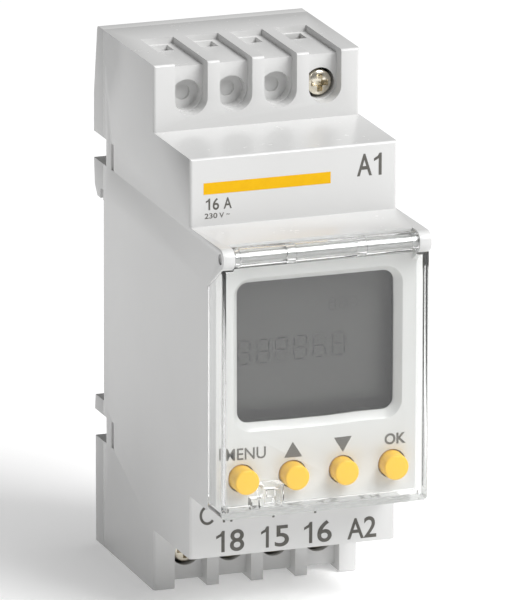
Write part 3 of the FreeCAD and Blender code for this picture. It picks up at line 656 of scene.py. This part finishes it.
def markings():
    """The strip, ratings and terminal numbers, the key marks and the small contact drawing."""
    strip = [(-15.7, 27.9), (6.4, 27.9), (6.4, 29.85), (-15.7, 29.85)]
    flat_shape("label_strip", strip, LABEL_FACE, STRIP_INK)
    for word, glyphs in WORDS.items():
        for place, (character, left, right, foot, head) in enumerate(glyphs):
            name = "mark_%s_%d" % (word, place)
            if character == "1":
                figure_one(name, left, right, foot, head, LABEL_FACE)
            else:
                printed(name, character, left, right, foot, head, LABEL_FACE)
    printed("mark_menu", "MENU", -16.0, -8.95, -14.2, -12.2, PANEL_FACE, 0.04)
    printed("mark_ok", "OK", 11.5, 15.2, -14.1, -12.2, PANEL_FACE, 0.12)
    flat_shape("mark_up", [(-5.85, -14.45), (-2.85, -14.45), (-4.35, -11.85)], PANEL_FACE, INK)
    flat_shape("mark_down", [(2.75, -11.85), (5.85, -11.85), (4.3, -14.4)], PANEL_FACE, INK)
    sweep = [math.radians(40 + 14 * k) for k in range(21)]
    middle_x, middle_z = -14.9, -26.75
    outer = [(middle_x + 1.42 * math.cos(a), middle_z + 1.68 * math.sin(a)) for a in sweep]
    inner = [(middle_x + 0.97 * math.cos(a), middle_z + 1.2 * math.sin(a)) for a in reversed(sweep)]
    flat_shape("mark_contact", outer + inner, LABEL_FACE, INK)
    half, foot, head = 0.2, -28.25, -25.5
    for number, x in enumerate((-12.05, -10.76, -3.4, 3.93)):
        lead = [(x - half, foot), (x + half, foot), (x + half, head), (x - half, head)]
        flat_shape("mark_lead_%d" % number, lead, LABEL_FACE, INK)


# ---------------------------------------------------------------- display

FILM_DEPTH = 0.25 * MM
FILM_GAP = 0.01 * MM
GHOST_LIFT = 0.7 * MM


def display():
    """Clear cell over its film, with idle digits just in front of the film."""
    low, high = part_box("lcd_glass")
    shapes = {
        "lcd_cell": (low.y, high.y - FILM_DEPTH - FILM_GAP, PANE, 0.1 * MM),
        "lcd_film": (high.y - FILM_DEPTH, high.y, FILM, 0.02 * MM)}
    for name, (front, back, material, edge) in shapes.items():
        edit = bmesh.new()
        bmesh.ops.create_cube(edit, size=1.0)
        size = Vector((high.x - low.x, back - front, high.z - low.z))
        centre = Vector(((low.x + high.x) / 2, (front + back) / 2, (low.z + high.z) / 2))
        bmesh.ops.transform(edit, verts=edit.verts, matrix=Matrix.Translation(centre)
                            @ Matrix.Diagonal((*size, 1)))
        bmesh.ops.bevel(edit, geom=edit.edges[:], offset=edge, segments=2, affect="EDGES")
        piece = smoothed(new_piece(name, mesh_from(edit, name), material))
        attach(piece, "housing")
        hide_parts("lcd_glass")
    film_face = high.y - FILM_DEPTH
    for name, digits, bar, across, up in (("ghost_time", 6, 1.9, (-12.3, 6.0), (0.6, 4.7)),
                                          ("ghost_day", 3, 0.9, (3.2, 7.9), (8.4, 10.4))):
        piece = modified(DIGITS, name, GHOST, {
            "Digits": digits, "Bar Length": bar * MM, "Pitch": bar * 1.6 * MM,
            "Bar Width": bar * 0.14 * MM, "Film": GHOST})
        piece.data.transform(UPRIGHT)
        fitted(piece, across, up, film_face, GHOST_LIFT)
        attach(piece, "housing")
    NODES["lcd_window"].data.materials.clear()
    NODES["lcd_window"].data.materials.append(PANE)


# ---------------------------------------------------------------- keys

def key_caps():
    """Yellow caps with a rounded rim, a flange behind the panel and a stem to the switch."""
    for key in KEYS:
        node = "button_" + key
        low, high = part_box(node)
        centre = (low + high) / 2
        flange = (high.x - low.x) / 2
        stem, shaft, rim, edge = 1.4 * MM, 2.12 * MM, 0.35 * MM, 0.15 * MM
        flange_front = PANEL_FACE + 1.7 * MM
        profile = [(0, low.y)] + arc((shaft - rim, low.y + rim), rim, -90, 0)
        profile += [(shaft, flange_front - 0.1 * MM), (shaft + 0.1 * MM, flange_front)]
        profile += arc((flange - edge, flange_front + edge), edge, -90, 0, 3)
        profile += [(flange, flange_front + 0.7 * MM), (stem, flange_front + 0.8 * MM)]
        profile += [(stem, high.y - edge), (stem - edge, high.y), (0, high.y)]
        piece = lathed("key_cap_" + key, profile, centre, YELLOW)
        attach(piece, "key_" + key)
        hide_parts(node)


# ---------------------------------------------------------------- terminals

def wedge(points):
    """Convex cutter round its corner points."""
    edit = bmesh.new()
    for point in points:
        edit.verts.new(point)
    bmesh.ops.convex_hull(edit, input=edit.verts)
    cutter = bpy.data.objects.new("cutter", mesh_from(edit, "cutter"))
    bpy.context.scene.collection.objects.link(cutter)
    return cutter


def cross_cutters(centre, face):
    """Two tapering arms of a screw's cross recess."""
    mouth, foot = face - 0.3 * MM, face + 1.5 * MM
    long_mouth, long_foot, half_mouth, half_foot = 1.75 * MM, 0.75 * MM, 0.52 * MM, 0.34 * MM
    cutters = []
    for turn in (0, 90):
        spin = Matrix.Translation((centre.x, 0, centre.z)) @ Matrix.Rotation(math.radians(turn), 4, "Y")
        corners = []
        for y, reach, half in ((mouth, long_mouth, half_mouth), (foot, long_foot, half_foot)):
            corners += [spin @ Vector((a * reach, y, b * half)) for a in (-1, 1) for b in (-1, 1)]
        cutters.append(wedge(corners))
    return cutters


def clamp_screw(name):
    """Domed screw with a cross recess and a real thread."""
    node = "terminal_screw_" + name
    low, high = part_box(node)
    centre = (low + high) / 2
    head, head_depth, shank = (high.x - low.x) / 2, 2.4 * MM, 1.5 * MM
    crown, core, edge, point = 0.55 * MM, shank - 0.17 * MM, 0.1 * MM, 0.3 * MM
    face, back = low.y, low.y + head_depth
    dome = [(head * math.sin(a), face + crown * (1 - math.cos(a)))
            for a in [math.radians(90 * k / 8) for k in range(1, 8)]]
    profile = [(0, face)] + dome + [(head, face + crown), (head, back - edge), (head - edge, back)]
    profile += [(shank, back), (shank, back + 0.5 * MM), (core, back + 0.7 * MM)]
    profile += [(core, high.y - point), (core - point, high.y), (0, high.y)]
    carrier = lathed("screw_blank_" + name, profile, centre, NICKEL)
    cutters = cross_cutters(centre, face)
    for cutter in cutters:
        recess = carrier.modifiers.new("recess", "BOOLEAN")
        recess.operation = "DIFFERENCE"
        recess.solver = "EXACT"
        recess.object = cutter
    piece = smoothed(baked("clamp_screw_" + name, carrier, NICKEL), 30)
    for cutter in cutters:
        bpy.data.objects.remove(cutter)
    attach(piece, "screw_" + name)
    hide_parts(node)
    lead = 0.5 * MM
    start = back + 1.1 * MM
    turns = math.floor((high.y - 0.5 * MM - start) / lead)
    ridge = modified(THREAD, "screw_thread_" + name, NICKEL, {
        "Radius": core, "Lead": lead, "Turns": float(turns), "Ridge": 0.16 * MM, "Metal": NICKEL})
    ridge.data.transform(Matrix.Translation((centre.x, start, centre.z))
                         @ Matrix.Rotation(math.radians(-90), 4, "X"))
    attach(ridge, "screw_" + name)


def terminals():
    """Five clamps, each a screw, a cage and a bar."""
    for name in TERMINALS:
        clamp_screw(name)
        cage = softened("clamp_cage_" + name, "clamp_frame_" + name, ZINC, 0.15 * MM)
        bar = softened("terminal_bar_" + name, "contact_bar_" + name, BRASS, 0.1 * MM)


# ---------------------------------------------------------------- inner pieces

INSIDE = {
    "lcd_frame": BLACK, "contact_strip": RUBBER, "display_board": BOARD, "power_board": BOARD,
    "riser_board": BOARD, "microcontroller": BLACK, "riser_sockets": BLACK, "battery_holder": BLACK,
    "clock_crystal": CELL, "backup_battery": CELL, "relay": RELAY, "film_capacitor": POTTED,
    "smoothing_capacitors": SLEEVE, "varistor": CERAMIC, "varistor_legs": TIN}
INSIDE.update({"tact_switch_" + key: BLACK for key in KEYS})
INSIDE.update({"switch_plunger_" + key: BROWN for key in KEYS})


def inside():
    """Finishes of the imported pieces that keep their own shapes."""
    for node, material in INSIDE.items():
        mesh = NODES[node].data
        mesh.materials.clear()
        mesh.materials.append(material)


# ---------------------------------------------------------------- floor, light and camera

def lamp(name, place, size, power):
    """Square softbox aimed at the part."""
    light = bpy.data.lights.new(name, "AREA")
    light.shape = "SQUARE"
    light.size = size
    light.energy = power
    item = bpy.data.objects.new(name, light)
    bpy.context.scene.collection.objects.link(item)
    item.location = place
    item.rotation_euler = (-Vector(place)).to_track_quat("-Z", "Y").to_euler()


def studio():
    """Pale floor, plain white surroundings and two softboxes."""
    low, _ = CAD_BOX
    half_width, gap = 4.0, 0.2 * MM
    edit = bmesh.new()
    bmesh.ops.create_grid(edit, x_segments=1, y_segments=1, size=half_width)
    floor = new_piece("floor", mesh_from(edit, "floor"), pale_floor())
    floor.data.transform(Matrix.Translation((0, 0, low.z - gap)))
    world = bpy.data.worlds.new("studio")
    world.use_nodes = True
    around = world.node_tree.nodes["Background"].inputs
    around["Color"].default_value = colour(1.0, 1.0, 1.0)
    around["Strength"].default_value = 0.23
    bpy.context.scene.world = world
    lamp("key_softbox", (0.7, -1.05, 1.25), 0.9, 28.0)
    lamp("top_softbox", (0.4, -0.2, 1.5), 1.0, 7.0)
    bpy.context.scene.view_settings.view_transform = "Standard"


def pale_floor():
    """Matt floor that glows a little, which keeps the shadow soft."""
    material, tree, shader, _ = new_material("pale_floor")
    place = add(tree, "ShaderNodeTexCoord").outputs["Object"]
    tone = noise(tree, place, 3.0, 2.0)
    feed(tree, shader.inputs["Base Color"], blended(tree, tone, colour(0.93, 0.93, 0.93),
                                                    colour(0.95, 0.95, 0.95)))
    shader.inputs["Roughness"].default_value = 0.8
    shader.inputs["Emission Color"].default_value = colour(1, 1, 1)
    shader.inputs["Emission Strength"].default_value = 0.24
    return material


def camera():
    """Long lens from the front left, a little above."""
    yaw, pitch, roll = math.radians(20.02), math.radians(15.84), math.radians(0.165)
    forward = Vector((math.sin(yaw) * math.cos(pitch), math.cos(yaw) * math.cos(pitch), -math.sin(pitch)))
    side = Vector((math.cos(yaw), -math.sin(yaw), 0))
    rise = side.cross(forward)
    right = side * math.cos(roll) + rise * math.sin(roll)
    up = rise * math.cos(roll) - side * math.sin(roll)
    data = bpy.data.cameras.new("camera")
    data.lens = 743.8
    place = (-0.6735, -1.8778, 0.5632)
    item = bpy.data.objects.new("camera", data)
    bpy.context.scene.collection.objects.link(item)
    turn = Matrix((right, up, -forward)).transposed().to_4x4()
    item.matrix_world = Matrix.Translation(place) @ turn
    bpy.context.scene.camera = item


housing()
cover()
hinge_pin()
markings()
display()
key_caps()
terminals()
inside()
studio()
camera()
